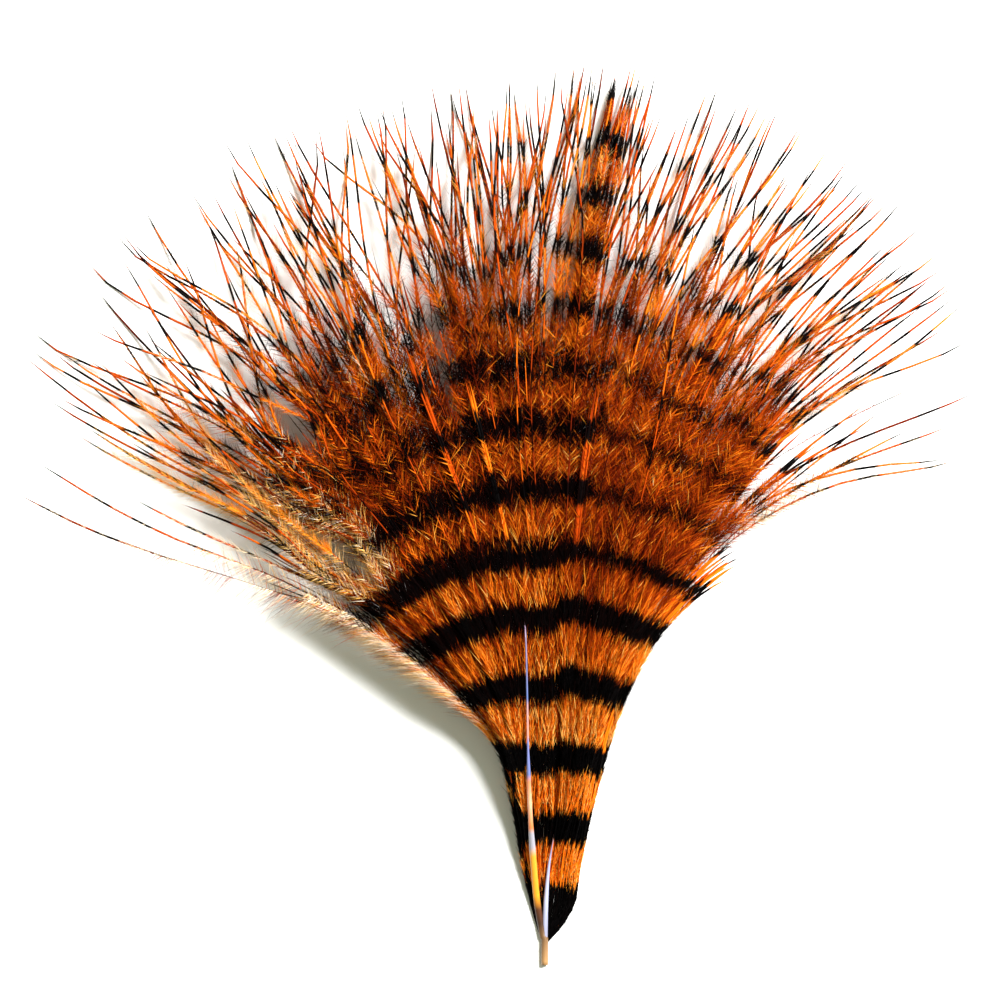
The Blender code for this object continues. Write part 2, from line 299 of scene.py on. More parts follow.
def shaft_piece(name, place, taper, lift, sinks_at, material):
    """Shaft: the run at one place across the fan, from the cut end of the quill to its tip. It is lifted
    off the arch by a smoothstep of the distance from the quill, until it sinks into the down by another,
    and its radius is read straight between the taper's pairs."""
    reach = np.linspace(0.0, taper[-1][0], SHAFT_RINGS)
    quill = np.linspace(QUILL_END, QUILL_TOP, QUILL_RINGS)
    xy = np.concatenate([quill, flow(np.full(SHAFT_RINGS, place), reach)])
    lifted = ease(reach, *SHAFT_RISES) * (1.0 - ease(reach, sinks_at, SHAFT_SINKS_OVER))
    z = sheet_height(xy) + lift * np.concatenate([np.zeros(QUILL_RINGS), lifted]) + SHAFT_CLEARANCE
    centre = np.concatenate([xy, z[:, None]], axis=1)[None]
    radius = np.concatenate([np.full(QUILL_RINGS, taper[0][1]), between(reach, taper)])[None]
    points, faces, _ = tapered_rods(centre, radius, SHAFT_SIDES, SHAFT_FLATNESS)
    new_piece(name, points, faces, material)


def add_node(tree, kind, inputs, **settings):
    """Output of a new node: its settings first, then its inputs, where an output is linked and anything
    else is set as it is."""
    node = tree.nodes.new(kind)
    for setting, value in settings.items():
        setattr(node, setting, value)
    for slot, value in inputs.items():
        if isinstance(value, bpy.types.NodeSocket):
            tree.links.new(value, node.inputs[slot])
        else:
            node.inputs[slot].default_value = value
    return node.outputs


def colour_ramp(tree, stops, place):
    """Colour that runs straight from stop to stop, each a place 0 to 1 and a colour."""
    ramp = tree.nodes.new("ShaderNodeValToRGB")
    elements = ramp.color_ramp.elements
    elements[0].position = stops[0][0]
    elements[0].color = (*stops[0][1], 1.0)
    elements[1].position = stops[-1][0]
    elements[1].color = (*stops[-1][1], 1.0)
    for position, colour in stops[1:-1]:
        elements.new(position).color = (*colour, 1.0)
    tree.links.new(place, ramp.inputs[0])
    return ramp.outputs[0]


HORN_FROM_Y = -0.050
HORN_TO_Y = -0.010
STREAK_SCALE = (9000.0, 350.0, 9000.0)
STREAK_DETAIL = 4.0
STREAK_SHARE = 0.45
HORN_ROUGHNESS = 0.32
HORN_SHINE = 0.4
HORN_BUMP = 0.25
HORN_BUMP_DEPTH = 0.00005


def horn_material(name, stops):
    """Horn: colours that change along the shaft, each stop a share of the 40 mm from the cut end and the
    colour there, darkened by fine noise that is drawn out lengthwise and also stands up as a low bump."""
    material, tree, shader = new_material(name, HORN_ROUGHNESS, HORN_SHINE)
    place = add_node(tree, "ShaderNodeTexCoord", {})["Object"]
    y = add_node(tree, "ShaderNodeSeparateXYZ", {0: place})["Y"]
    span = {"Value": y, "From Min": HORN_FROM_Y, "From Max": HORN_TO_Y}
    height = add_node(tree, "ShaderNodeMapRange", span)
    colour = colour_ramp(tree, stops, height[0])
    drawn_out = add_node(tree, "ShaderNodeMapping", {0: place, "Scale": STREAK_SCALE})
    noise = {"Vector": drawn_out[0], "Scale": 1.0, "Detail": STREAK_DETAIL}
    streaks = add_node(tree, "ShaderNodeTexNoise", noise)["Fac"]
    streaked = {"Factor": STREAK_SHARE, "A": colour, "B": streaks}
    mix = add_node(tree, "ShaderNodeMix", streaked, data_type="RGBA", blend_type="MULTIPLY")
    tree.links.new(mix["Result"], shader.inputs["Base Color"])
    low_bump = {"Strength": HORN_BUMP, "Distance": HORN_BUMP_DEPTH, "Height": streaks}
    bump = add_node(tree, "ShaderNodeBump", low_bump)
    tree.links.new(bump[0], shader.inputs["Normal"])
    return material


# Horn colours from the cut end upwards: tan quill, dark and orange bands, then bluish grey horn. The
# pale bluish grey bands where the shafts cross the black bars are partly the horn's own grey and
# partly a painted highlight along the glossy shafts.
main_horn_and_painted_highlight = horn_material("main_horn_and_painted_highlight", (
    (0.00, (0.55, 0.30, 0.12)), (0.13, (0.05, 0.02, 0.01)), (0.17, (0.10, 0.03, 0.01)),
    (0.21, (0.95, 0.36, 0.02)), (0.32, (0.98, 0.40, 0.03)), (0.345, (0.42, 0.40, 0.46)),
    (0.385, (0.42, 0.40, 0.46)), (0.40, (0.85, 0.24, 0.06)), (0.47, (0.95, 0.50, 0.30)),
    (0.53, (0.80, 0.26, 0.10)), (0.55, (0.16, 0.20, 0.46)), (0.64, (0.20, 0.22, 0.50)),
    (0.66, (0.70, 0.32, 0.24)), (0.74, (0.55, 0.30, 0.30)), (0.76, (0.10, 0.16, 0.40)),
    (1.00, (0.34, 0.20, 0.26)),
))
second_horn_and_painted_highlight = horn_material("second_horn_and_painted_highlight", (
    (0.00, (0.55, 0.30, 0.12)), (0.10, (0.30, 0.30, 0.42)), (0.20, (0.50, 0.52, 0.72)),
    (0.30, (0.42, 0.46, 0.74)), (0.36, (0.30, 0.16, 0.20)), (1.00, (0.30, 0.12, 0.10)),
))
shaft_piece("quill_and_shaft", MAIN_AT, MAIN_TAPER, MAIN_LIFT, MAIN_SINKS, main_horn_and_painted_highlight)
shaft_piece("second_shaft", SECOND_AT, SECOND_TAPER, SECOND_LIFT, SECOND_SINKS, second_horn_and_painted_highlight)


# The barbs: some hundreds of soft, round filaments that grow from both sides of the shafts in tufts,
# pressed together at the base and fanning out to fine bare tips that cross each other. Dye turned the
# pale parts orange and left the bars black.
RINGS = 26
RING_CROWDING = 1.1
EVEN_AT = 0.80
FAN_PLACES = 200
fan_places = np.linspace(0.0, 1.0, FAN_PLACES)
outline = flow(fan_places, EVEN_AT * full_length(fan_places))
outline_run = np.concatenate([[0.0], np.cumsum(np.linalg.norm(np.diff(outline, axis=0), axis=1))])


def evenly(share):
    """Place across the fan at a share of the arc that the guides mark at four fifths of their lengths."""
    return np.interp(share * outline_run[-1], outline_run, fan_places)


# Bars: the bar of count n lies at BAR_FIRST + BAR_PITCH n - BAR_SHRINK n^2 from the quill. Right of the
# second shaft they are moved by the given lengths, as pairs of a distance from the quill and a length.
BAR_FIRST = 0.00400
BAR_PITCH = 0.00821
BAR_SHRINK = 0.0000972
BARS_FROM_Y = GUIDES_MM[3][0][1] / 1000.0
BARS_LEVEL_OUT = (0.016, 0.016)
BARS_LATER = ((0.020, 0.0), (0.027, -0.0012), (0.036, -0.0014), (0.048, 0.0))
BARS_LATER_AT = (0.53, 0.10)
BARS_SOONER = ((0.048, 0.0), (0.065, 0.0028))
BARS_SOONER_AT = (0.65, 0.08)


def bar_phase(across, reach, y):
    """Bar count at a distance along the fan: the pitch shrinks evenly from bar to bar, so the count
    solves a quadratic, and below the first bar it stays at 0 down to the quill. The bars of the pressed
    base lie square to the quill, so there the distance is taken straight up. Right of the second shaft
    the bars from 20 to 48 mm come up to 1.4 mm further out, and beyond 48 mm, further right, up to
    2.8 mm sooner."""
    shift = between(reach, BARS_LATER) * ease(across, *BARS_LATER_AT)
    shift = shift + between(reach, BARS_SOONER) * ease(across, *BARS_SOONER_AT)
    upward = y - BARS_FROM_Y
    run = upward + (reach + shift - upward) * ease(reach, *BARS_LEVEL_OUT)
    past_first = np.clip(run - BAR_FIRST, 0.0, None)
    inside = np.clip(BAR_PITCH**2 - 4.0 * BAR_SHRINK * past_first, 1e-9, None)
    return (BAR_PITCH - np.sqrt(inside)) / (2.0 * BAR_SHRINK)


# Partings where the barbs step aside: place across the fan, distance from the quill, width across the
# fan and length along it.
PARTINGS = (
    (0.130, 0.0500, 0.034, 0.0045), (0.905, 0.0520, 0.012, 0.0030), (0.925, 0.0400, 0.012, 0.0030),
    (0.571, 0.0240, 0.005, 0.0080), (0.225, 0.0650, 0.014, 0.0035), (0.050, 0.0470, 0.010, 0.0030),
)
PARTING_EDGE = 0.15
PARTING_SPREAD = 1.6


def part_barbs(at, reach):
    """Places across the fan with small partings opened: each barb steps to the side of the parting that it
    passes on, by its width times two bell curves, one across the fan and one along it."""
    moved = at.copy()
    for place, distance, width, length in PARTINGS:
        nearest = np.abs(reach - distance).argmin(axis=1)[:, None]
        passing = np.take_along_axis(at, nearest, axis=1)
        side = np.tanh((passing - place) / (PARTING_EDGE * width))
        across = (at - place) / (PARTING_SPREAD * width)
        moved += width * side * np.exp(-across**2 - ((reach - distance) / length) ** 2)
    return moved


LEFT_RUN = 0.012
RIGHT_RUN = 0.10


def stay_inside(at):
    """Places across the fan, bent by tanh where they would wander past its left edge at 0 or its right
    edge at 1."""
    over = np.clip(at - 1.0, 0.0, None)
    under = np.clip(-at, 0.0, None)
    bent = at - over + RIGHT_RUN * np.tanh(over / RIGHT_RUN)
    return bent + under - LEFT_RUN * np.tanh(under / LEFT_RUN)


# Waves of tone over the plume: wavelength, direction and start (both in radians).
PATCH_WAVES = ((0.0086, 0.4, 1.0), (0.0061, 1.9, 2.2), (0.0110, 2.7, 4.1), (0.0047, 3.4, 5.3))


def patches(xy):
    """Slow change of tone over the plume, -1 to 1: the mean of four sine waves of 5 to 11 mm in four
    directions."""
    x, y = xy[..., 0], xy[..., 1]
    waves = [np.sin(2 * math.pi * (x * math.cos(turn) + y * math.sin(turn)) / length + start)
             for length, turn, start in PATCH_WAVES]
    return np.mean(waves, axis=0)


def drift(total, rings, knots, rng):
    """Random values that drift smoothly along each barb: knots of normal noise joined by smoothsteps."""
    raw = rng.normal(0.0, 1.0, (total, knots))
    at = np.linspace(0, knots - 1, rings)
    low = np.clip(at.astype(int), 0, knots - 2)
    part = smoothstep(at - low)
    return raw[:, low] * (1 - part) + raw[:, low + 1] * part


# Scatter of the bars from barb to barb, as shares of the distance between bars.
TUFT_SLIP = 0.10
BARB_SLIP = 0.10
ROOT_SLIP = 0.045
BARS_SLIP = (0.040, 0.026)
LEFT_SLIP = 1.8
LEFT_SLIP_AT = (0.30, 0.12)
TIP_SLIP = 1.2
TIP_SLIP_FROM = (0.066, 0.010)
TIP_SLIP_AT = (0.56, -0.08)
PATCH_SLIP = 0.16
PATCH_SLIP_FROM = (0.034, 0.024)
# The lowest barbs at the left by the quill are black: partly their dark edge, partly painted shade.
DARK_EDGE_AND_SHADE_AT = (0.15, -0.03)
DARK_EDGE_AND_SHADE_UNTIL = (0.0205, 0.002)


def barb_bars(at, reach, xy, across, owner, gather, rng):
    """Bar phase along each barb: the fan's own, plus the slip of its tuft and of the barb, which starts
    40 mm out, is up to 2.8 times as large at the left and grows again at the left tips, and is less
    where the tuft draws together. Slow patches move the bars a little too. Near the quill the lowest
    barbs at the left are all black, partly their own dark edge and partly painted shade along the
    shadowed left edge."""
    count = owner[-1] + 1
    total = len(owner)
    slip = (rng.normal(0.0, TUFT_SLIP, count)[owner] + rng.normal(0.0, BARB_SLIP, total))[:, None]
    left = 1.0 - ease(across, *LEFT_SLIP_AT)
    at_tips = TIP_SLIP * ease(reach, *TIP_SLIP_FROM) * ease(across, *TIP_SLIP_AT)[:, None]
    slip = (1.0 - gather) * slip * (ease(reach, *BARS_SLIP) * (1.0 + LEFT_SLIP * left[:, None]) + at_tips)
    phase = bar_phase(at, reach, xy[..., 1]) + rng.normal(0.0, ROOT_SLIP, total)[:, None] + slip
    phase = phase + PATCH_SLIP * patches(1.3 * xy[..., ::-1]) * ease(reach, *PATCH_SLIP_FROM)
    dark_edge_and_shade = ease(across, *DARK_EDGE_AND_SHADE_AT)[:, None] * (1.0 - ease(reach, *DARK_EDGE_AND_SHADE_UNTIL))
    return phase + (np.round(phase) - phase) * dark_edge_and_shade


# Tone between the bars, 0 burnt brown, about 0.6 orange and 1 undyed cream, as pairs of a distance from
# the quill and a tone: bright at the base, deepest from 40 to 50 mm and a little brighter at the tips.
TONE_ALONG = ((0.018, 0.68), (0.025, 0.56), (0.032, 0.37), (0.040, 0.305), (0.048, 0.295), (0.060, 0.35))
RIGHT_TONE = 0.07
RIGHT_TONE_AT = (0.56, 0.08)
RIGHT_UNTIL = (0.036, 0.008)
LEFT_TONE = ((0.020, 0.0), (0.025, -0.05), (0.031, -0.08), (0.035, 0.0), (0.039, 0.06), (0.045, 0.0))
LEFT_TONE_AT = (0.38, 0.12)
BARB_SHADE = 0.06
TUFT_SHADE = 0.04
TONE_DRIFT = 0.04
TONE_KNOTS = 8
TONE_PATCHES = 0.08
BRIGHTEST_BARB = 0.80


def barb_tones(reach, xy, across, owner, tone, rng):
    """Tone along each barb: the plume's own, plus that of the layer, a brighter right side near the base,
    a darker and then brighter band in the left half, and a scatter by tuft, by barb, along the barb and
    in patches."""
    own = rng.normal(0.0, BARB_SHADE, len(owner))
    own = own + rng.normal(0.0, TUFT_SHADE, owner[-1] + 1)[owner]
    base = between(reach, TONE_ALONG) + tone
    at_right = ease(across, *RIGHT_TONE_AT)[:, None]
    base = base + RIGHT_TONE * at_right * (1.0 - ease(reach, *RIGHT_UNTIL))
    base = base + (1.0 - ease(across, *LEFT_TONE_AT))[:, None] * between(reach, LEFT_TONE)
    along = TONE_DRIFT * drift(len(owner), RINGS, TONE_KNOTS, rng)
    return np.minimum(base + own[:, None] + along + TONE_PATCHES * patches(xy), BRIGHTEST_BARB)


# How the barbs lie: shares, lengths in metres, and pairs of the start and length of a smoothstep.
TUFT_JITTER = 0.3
BARB_JITTER = 0.40
SHORTEST_IN_TUFT = 0.2
LENGTH_SCATTER = 0.25
ROOTS_REACH = 0.45
ROOTS_POWER = 0.8
ROOTS_CROWDING = 1.3
ROOT_LIMIT = 0.6
AT_QUILL = 0.0015
LEAVES_OVER = 0.006
LEAVES_MORE = 0.045
LOOSE_FROM = (0.46, 0.54)
LEAN_TO_SIDE = 0.75
TUFT_LEAN = 0.25
BARB_LEAN = 0.45
WAVE = 0.012
WAVE_KNOTS = 5
FULL_WAVE_BEND = 0.03
CRINKLE = 0.010
CRINKLE_KNOTS = 14
CRINKLE_UNTIL = (0.018, 0.016)
CURL = 0.018
CURL_LEFT_OF = (0.42, -0.16)
CURL_RIGHT_OF = (0.02, 0.06)
CURL_POWER = 5
GATHER_FROM = (0.82, 0.18)
LONGEST_SHARE = 1.02
RISES_OVER = 0.010
QUILL_RISES = (0.0, 0.022)
LIFT_SCATTER = 0.15
OVERLAY_LIFT = 0.00285
OVERLAY_START = 0.55
OVERLAY_EMERGES = (0.036, 0.014)
TIP_RISE = 0.0004
TIP_SCATTER = 0.0008
TIP_RISE_FROM = (0.5, 0.5)
LOOSE_SETTLES = 0.6
LOWEST_BARB = 0.00016


def tuft_of_barbs(count, each, sides, ends, roots, lift, tone, lean, bend, down, gather, rng):
    """One layer of barbs in tufts. Each barb leaves the nearer shaft, or the quill, moves over to its own
    place across the fan by a smoothstep of the distance, and follows the guides to its end. Past 46% of
    the full length it leans over with its tuft, every other barb to the left and the rest to the right,
    and wanders by smooth noise; near the quill it is crinkled, the left half curls inwards by the fifth
    power of the distance, and the tips of a tuft draw together by the gather share. A barb that was bent
    to where the guides are shorter is shortened with them. It lies on the arch at its lift, which grows
    from the root and the quill and settles towards the tip; the topmost barbs come up through the down
    only from 36 mm on."""
    total = count * each
    owner = np.repeat(np.arange(count), each)
    jitter = rng.uniform(-TUFT_JITTER, TUFT_JITTER, count)
    place = sides[0] + (sides[1] - sides[0]) * (np.arange(count) + 0.5 + jitter) / count
    spacing = (sides[1] - sides[0]) / count
    beside = place[owner] + rng.normal(0.0, BARB_JITTER * spacing, total)
    across = evenly(np.clip(beside, sides[0], sides[1]))
    longest = full_length(across)
    tuft_share = rng.uniform(SHORTEST_IN_TUFT, 1.0, count)[owner]
    share = np.clip(tuft_share + rng.normal(0, LENGTH_SCATTER, total), 0, 1)
    end = longest * (ends[0] + (ends[1] - ends[0]) * share)
    shaft = np.where(across < 0.5, MAIN_AT, SECOND_AT)
    offset = across - shaft
    highest = np.clip(roots[1] * (1.0 - np.abs(offset) / ROOTS_REACH) ** ROOTS_POWER, 0.0, None)
    root = roots[0] + (highest - roots[0]) * rng.random(total) ** ROOTS_CROWDING
    root = np.clip(root, 0.0, ROOT_LIMIT * end)[:, None]
    v = np.linspace(0.0, 1.0, RINGS) ** RING_CROWDING
    reach = root + (end[:, None] - root) * v
    moved = ease(reach, root, (LEAVES_OVER + LEAVES_MORE * np.abs(offset))[:, None])
    moved = np.where(root < AT_QUILL, 1.0, moved)
    run = reach / longest[:, None]
    loose = ease(run, *LOOSE_FROM)
    left_and_right = np.where(np.arange(total) % 2 == 0, -LEAN_TO_SIDE, LEAN_TO_SIDE)
    scatter = rng.normal(0.0, TUFT_LEAN, count)[owner] + left_and_right
    tuft_bend = lean + bend * (scatter + rng.normal(0.0, BARB_LEAN, total))
    wave = drift(total, RINGS, WAVE_KNOTS, rng) * WAVE * min(1.0, bend / FULL_WAVE_BEND)
    crinkle = drift(total, RINGS, CRINKLE_KNOTS, rng) * CRINKLE * (1.0 - ease(reach, *CRINKLE_UNTIL))
    curl = CURL * (ease(across, *CURL_LEFT_OF) * ease(across, *CURL_RIGHT_OF))[:, None] * run**CURL_POWER
    at = shaft[:, None] + offset[:, None] * moved + tuft_bend[:, None] * loose + wave * loose
    at = at + crinkle + curl
    at = at + (evenly(place[owner])[:, None] - at) * (gather * ease(run, *GATHER_FROM))
    at = stay_inside(part_barbs(at, reach))
    fits = np.minimum(1.0, LONGEST_SHARE * full_length(np.clip(at[:, -1], 0.0, 1.0)) / end)
    reach = root + (reach - root) * fits[:, None]
    xy = flow(at, reach)
    tuft_lift = rng.random(count)[owner]
    up = lift[0] + (lift[1] - lift[0]) * np.clip(tuft_lift + rng.normal(0, LIFT_SCATTER, total), 0, 1)
    emerges = np.where(up > OVERLAY_LIFT, OVERLAY_START, 1.0)[:, None]
    stretch = ease(reach, root, RISES_OVER) * ease(reach, *QUILL_RISES)
    height = up[:, None] * stretch * (emerges + (1.0 - emerges) * ease(reach, *OVERLAY_EMERGES))
    rise = rng.normal(TIP_RISE, TIP_SCATTER, total)[:, None]
    rise = rise * ease(reach / longest[:, None], *TIP_RISE_FROM)
    z = sheet_height(xy) + np.clip(height, 0.0, None) * (1.0 - LOOSE_SETTLES * loose) + rise
    line = np.concatenate([xy, np.clip(z, LOWEST_BARB, None)[..., None]], axis=-1)
    phase = barb_bars(at, reach, xy, across, owner, gather, rng)
    shade = barb_tones(reach, xy, across, owner, tone, rng)
    return line, reach, across, reach[:, -1], phase, shade, np.full(total, down)


# Layers of barbs from the lowest to the highest, a row each: tufts, barbs in a tuft, part of the fan's
# width, length as a share of the full length, distance of the roots from the quill, lift off the arch,
# tone, lean and bend across the fan, share of down, and how far the tufts' tips draw together.
BARB_SEED = 21
BARB_LAYERS = (
    # Short barbs over the whole base.
    (14, 5, (0.06, 0.98), (0.28, 0.42), (0.0, 0.003), (0.0008, 0.0016), 0.06, 0.00, 0.012, 1.4, 0.0),
    # The left edge: short fluffy barbs, the two lowest long ones, and the sparse long ones above them.
    (7, 5, (0.0, 0.12), (0.48, 0.66), (0.0, 0.012), (0.0000, 0.0008), 0.00, 0.00, 0.026, 1.2, 0.0),
    (2, 1, (0.00, 0.03), (0.99, 1.01), (0.0, 0.004), (0.0000, 0.0008), -0.10, 0.00, 0.006, 0.8, 0.0),
    (5, 1, (0.05, 0.12), (0.84, 0.95), (0.0, 0.004), (0.0000, 0.0008), -0.08, 0.00, 0.020, 0.8, 0.0),
    # The right edge: short orange tips, longer barbs above them, and flat curved ones that reach out.
    (5, 8, (0.91, 1.0), (0.48, 0.60), (0.0, 0.012), (0.0000, 0.0008), 0.14, 0.12, 0.040, 1.0, 0.0),
    (8, 4, (0.85, 0.95), (0.62, 0.86), (0.0, 0.012), (0.0000, 0.0010), 0.04, 0.01, 0.028, 1.0, 0.0),
    (6, 1, (0.88, 0.97), (0.80, 0.98), (0.0, 0.004), (0.0000, 0.0008), 0.00, 0.08, 0.030, 0.6, 0.0),
    # Full-length barbs that reach the outline, from left to right, the last two rows crossing.
    (22, 2, (0.10, 0.31), (0.88, 1.01), (0.0, 0.030), (0.0000, 0.0012), 0.00, 0.00, 0.050, 0.9, 0.0),
    (22, 2, (0.31, 0.50), (0.90, 1.02), (0.0, 0.030), (0.0000, 0.0014), 0.00, 0.00, 0.060, 0.9, 0.0),
    (24, 2, (0.47, 0.60), (0.95, 1.04), (0.0, 0.030), (0.0000, 0.0014), 0.00, 0.00, 0.044, 1.0, 0.0),
    (16, 2, (0.61, 0.90), (0.90, 1.02), (0.0, 0.030), (0.0000, 0.0014), 0.00, -0.03, 0.030, 0.9, 0.0),
    (30, 2, (0.57, 0.87), (0.90, 1.03), (0.0, 0.030), (0.0000, 0.0014), 0.00, 0.06, 0.036, 0.9, 0.0),
    # Shorter barbs that carry the mass of the down.
    (36, 2, (0.12, 0.90), (0.68, 0.84), (0.0, 0.032), (0.0008, 0.0018), -0.02, 0.00, 0.024, 1.1, 0.0),
    (44, 5, (0.06, 0.92), (0.63, 0.80), (0.0, 0.030), (0.0014, 0.0024), 0.00, 0.00, 0.024, 1.2, 0.0),
    (22, 5, (0.12, 0.90), (0.46, 0.68), (0.0, 0.024), (0.0018, 0.0028), 0.03, 0.00, 0.018, 1.1, 0.0),
    # Nearly bare barbs that lie loose on the down.
    (5, 2, (0.14, 0.80), (0.86, 1.0), (0.0, 0.026), (0.0029, 0.0032), 0.00, 0.00, 0.050, 0.10, 0.0),
    # Three raised, barred tufts, their tips drawn together.
    (1, 9, (0.399, 0.405), (0.69, 0.73), (0.0, 0.026), (0.0030, 0.0032), 0.15, 0.00, 0.003, 0.20, 0.4),
    (1, 7, (0.461, 0.466), (0.63, 0.67), (0.0, 0.026), (0.0030, 0.0032), 0.15, 0.00, 0.003, 0.20, 0.4),
    (1, 6, (0.648, 0.658), (0.58, 0.65), (0.0, 0.026), (0.0030, 0.0032), 0.12, 0.00, 0.005, 0.20, 0.4),
    # The tall barred column at the top, downy to its tip. It stays the last row.
    (2, 13, (0.608, 0.630), (0.93, 1.00), (0.0, 0.030), (0.0012, 0.0022), 0.05, 0.00, 0.005, 1.2, 0.8),
)
barb_rng = np.random.default_rng(BARB_SEED)
layers = [tuft_of_barbs(*sizes, barb_rng) for sizes in BARB_LAYERS]
line, reach, across, end, phase, shade, downy = [np.concatenate(parts) for parts in zip(*layers)]
tall_column = np.arange(len(across)) >= len(across) - len(layers[-1][0])

# The chart that bars and tones are painted on: u runs over PHASE_SPAN bars from PHASE_LOW, v is the tone.
PHASE_LOW = -2.0
PHASE_SPAN = 18.0


def pattern_uv(phase, tone):
    """Map place of a bar phase and a tone: bars along u, tone from burnt brown to cream along v."""
    return np.stack([(phase - PHASE_LOW) / PHASE_SPAN, np.clip(tone, 0.01, 0.99)], axis=-1)


# Half widths of a bar, as shares of the distance between bars, inside which it is black and outside
# which it is gone, and the fraying of its edges. Dye and bar colours run with the tone.
BAR_BLACK_TO = 0.185
BAR_GONE_FROM = 0.265
FRAY = 0.14
FRAY_SCALE = (90.0, 70.0, 1.0)
FRAY_DETAIL = 3.0
BARB_SHINE = 0.015
DYE_COLOURS = (
    (0.00, (0.014, 0.001, 0.001)), (0.22, (0.13, 0.010, 0.001)), (0.42, (0.46, 0.052, 0.002)),
    (0.60, (0.86, 0.190, 0.006)), (0.76, (0.95, 0.350, 0.030)), (0.88, (0.93, 0.540, 0.14)),
    (1.00, (0.92, 0.860, 0.740)),
)
BAR_COLOURS = (
    (0.00, (0.0070, 0.0010, 0.0006)), (0.48, (0.0010, 0.0009, 0.0010)),
    (0.95, (0.003, 0.002, 0.002)), (1.00, (0.55, 0.50, 0.50)),
)


def dyed_material(name, roughness):
    """Dyed barbs: near-black bars where the bar phase is near a whole number, with edges frayed by noise,
    and between them a tone that runs from burnt brown through orange and tan to undyed cream. The tone
    also carries the painted shade of the barbs inside the down and the painted highlights of the pale
    barbules."""
    material, tree, shader = new_material(name, roughness, BARB_SHINE)
    chart = add_node(tree, "ShaderNodeUVMap", {}, uv_map="OFBake")[0]
    split = add_node(tree, "ShaderNodeSeparateXYZ", {0: chart})
    to_phase = {0: split["X"], 1: PHASE_SPAN, 2: PHASE_LOW}
    count = add_node(tree, "ShaderNodeMath", to_phase, operation="MULTIPLY_ADD")[0]
    fray_place = add_node(tree, "ShaderNodeMapping", {0: chart, "Scale": FRAY_SCALE})[0]
    noise = {"Vector": fray_place, "Scale": 1.0, "Detail": FRAY_DETAIL}
    fray = add_node(tree, "ShaderNodeTexNoise", noise)["Fac"]
    frayed = add_node(tree, "ShaderNodeMath", {0: fray, 1: FRAY, 2: count}, operation="MULTIPLY_ADD")[0]
    shifted = add_node(tree, "ShaderNodeMath", {0: frayed, 1: FRAY / 2}, operation="SUBTRACT")[0]
    from_bar = add_node(tree, "ShaderNodeMath", {0: shifted, 1: 0.5}, operation="PINGPONG")[0]
    bar_edge = {"Value": from_bar, "From Min": BAR_BLACK_TO, "From Max": BAR_GONE_FROM}
    edge = add_node(tree, "ShaderNodeMapRange", bar_edge, interpolation_type="SMOOTHSTEP")[0]
    dye = colour_ramp(tree, DYE_COLOURS, split["Y"])
    bar = colour_ramp(tree, BAR_COLOURS, split["Y"])
    mix = add_node(tree, "ShaderNodeMix", {"Factor": edge, "A": bar, "B": dye}, data_type="RGBA")
    tree.links.new(mix["Result"], shader.inputs["Base Color"])
    return material


# Where the dense down of each barb ends, in mm from the quill, evenly across the fan from left to right.
DOWNY_MM = (60.0, 63.0, 72.0, 76.0, 75.0, 70.0, 68.0, 54.0)
DOWNY_SCATTER = 0.005
DOWN_SEED = 5
BARE_TIP = 0.006
COLUMN_BARE_TIP = 0.002
RIGHT_TIPS_FROM = 0.9
down_rng = np.random.default_rng(DOWN_SEED)
downy_limit = np.interp(across, np.linspace(0, 1, len(DOWNY_MM)), np.array(DOWNY_MM) / 1000.0)
downy_limit = downy_limit + down_rng.normal(0.0, DOWNY_SCATTER, len(across))
short_barb = (downy_limit > end - BARE_TIP) & ~tall_column & (across < RIGHT_TIPS_FROM)
downy_limit = np.where(tall_column, end - COLUMN_BARE_TIP, np.minimum(downy_limit, end - BARE_TIP))

# Thickness: a thin filament inside the down, stouter by the quill and at the bare tip, which ends in a
# point. Short barbs that end inside the down stay thin, and barbs with little down are stout all along.
BARB_RADIUS = 0.000150
BARB_SIDES = 3
BARB_FLATNESS = 0.9
INSIDE_DOWN = 0.30
STOUT = 0.22
STOUT_UNTIL = (0.014, 0.010)
BARE_BEFORE = 0.014
BARE_OVER = 0.016
SHORT_BARB_BARE = 0.30
LITTLE_DOWN = (0.15, 0.5)
LITTLE_DOWN_BARE = (0.35, 0.75)
TIP_FROM = 0.93
TIP_TAPER = 0.62
along = (reach - reach[:, :1]) / (reach[:, -1:] - reach[:, :1])
bare = smoothstep((reach - downy_limit[:, None] + BARE_BEFORE) / BARE_OVER)
bare = bare * np.where(short_barb, SHORT_BARB_BARE, 1.0)[:, None]
least_bare = np.select([downy < limit for limit in LITTLE_DOWN], LITTLE_DOWN_BARE, 0.0)
bare = np.maximum(bare, least_bare[:, None])
stout = STOUT * (1.0 - ease(reach, *STOUT_UNTIL))
pointed = 1.0 - TIP_TAPER * ease(along, TIP_FROM, 1.0 - TIP_FROM)
thickness = BARB_RADIUS * (INSIDE_DOWN + stout + (1.0 - INSIDE_DOWN) * bare) * pointed
barb_points, barb_faces, ring_of = tapered_rods(line, thickness, BARB_SIDES, BARB_FLATNESS)

# Tone and bars of the filaments: darker than the down inside it, a painted shade for the barbules
# that cover them there, and brighter where bare, with narrower bars near the tips and a light speckle.
PAINTED_SHADE_IN_DOWN = 0.13
TONE_WHEN_BARE = 0.19
FILAMENT_SCATTER = 0.06
BRIGHTEST_TIP = 0.56
THINNER_BARS = 0.22
THINNER_FROM = (0.060, 0.012)
SPECKLE = 0.01
TONE_SEED = 4
SPECKLE_SEED = 3
BARB_ROUGHNESS = 0.5
filament_scatter = np.random.default_rng(TONE_SEED).normal(0.0, FILAMENT_SCATTER, len(reach))[:, None]
